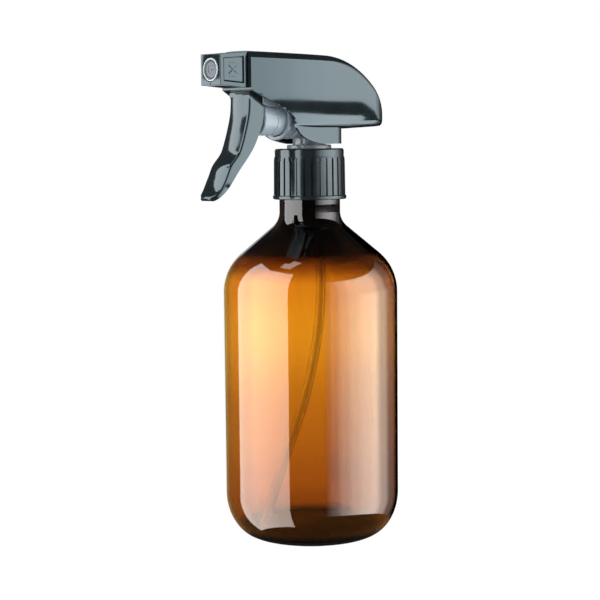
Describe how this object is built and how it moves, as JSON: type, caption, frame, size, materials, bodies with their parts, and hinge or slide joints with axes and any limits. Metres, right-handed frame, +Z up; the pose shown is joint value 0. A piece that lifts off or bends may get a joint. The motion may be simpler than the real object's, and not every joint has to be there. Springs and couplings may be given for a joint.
{
  "type": "trigger spray bottle",
  "caption": "Hand trigger sprayer with a square turning nozzle, screwed on a round-shouldered amber bottle with a dip tube inside.",
  "frame": {"origin": "on the bottle's axis at the height of the surface that it stands on; the base's flat middle is 1 mm above it", "axes": "+Z up along the bottle's axis, -X the way the nozzle sprays, +Y the trigger's pivot line"},
  "size_m": [0.0939, 0.074, 0.2053],
  "materials": {
    "amber_pet": "clear amber, glossy",
    "black_gloss": "black moulded, glossy",
    "natural_pp": "natural translucent, satin",
    "soft_seal": "soft white, satin",
    "spring_steel": "drawn wire",
    "ball_glass": "clear"
  },
  "bodies": {
    "bottle": {"bottle": "amber_pet"},
    "gasket": {"gasket": "soft_seal"},
    "collar": {"collar": "black_gloss"},
    "pump": {"pump_body": "natural_pp", "shroud": "black_gloss", "intake_plug": "natural_pp", "dip_tube": "natural_pp", "piston_spring": "spring_steel", "outlet_spring": "spring_steel", "swirl_plug": "soft_seal"},
    "trigger": {"trigger": "black_gloss"},
    "piston": {"piston": "soft_seal"},
    "nozzle": {"nozzle": "black_gloss", "orifice_insert": "black_gloss"},
    "inlet_ball": {"inlet_ball": "ball_glass"},
    "outlet_ball": {"outlet_ball": "ball_glass"}
  },
  "joints": [
    {"name": "head_rise", "type": "slide", "parent": "bottle", "child": "gasket", "axis": [0, 0, 1], "range_m": [0, 0.00525]},
    {"name": "collar_turn", "type": "hinge", "parent": "gasket", "child": "collar", "pos_m": [0, 0, 0.155], "axis": [0, 0, 1], "range_deg": [0, 450.5]},
    {"name": "head_swivel", "type": "hinge", "parent": "gasket", "child": "pump", "pos_m": [0, 0, 0.165], "axis": [0, 0, 1], "continuous": true},
    {"name": "trigger_squeeze", "type": "hinge", "parent": "pump", "child": "trigger", "pos_m": [-0.033, 0, 0.193], "axis": [0, -1, 0], "range_deg": [0, 22], "stiffness_Nm_per_rad": 0.6, "springref_deg": -9.74},
    {"name": "piston_slide", "type": "slide", "parent": "pump", "child": "piston", "axis": [1, 0, 0], "range_m": [0, 0.0054], "deforming": ["piston_spring"]},
    {"name": "nozzle_turn", "type": "hinge", "parent": "pump", "child": "nozzle", "pos_m": [-0.046, 0, 0.1977], "axis": [-1, 0, 0], "continuous": true},
    {"name": "inlet_lift", "type": "slide", "parent": "pump", "child": "inlet_ball", "axis": [0, 0, 1], "range_m": [0, 0.001]},
    {"name": "outlet_lift", "type": "slide", "parent": "pump", "child": "outlet_ball", "axis": [-1, 0, 0], "range_m": [0, 0.0008], "stiffness_N_per_m": 60, "springref_m": -0.0005, "deforming": ["outlet_spring"]}
  ],
  "couplings": [
    {"joint": "collar_turn", "follows": "head_rise", "rad_per_m": 1496},
    {"joint": "piston_slide", "follows": "trigger_squeeze", "m_per_rad": 0.014}
  ]
}
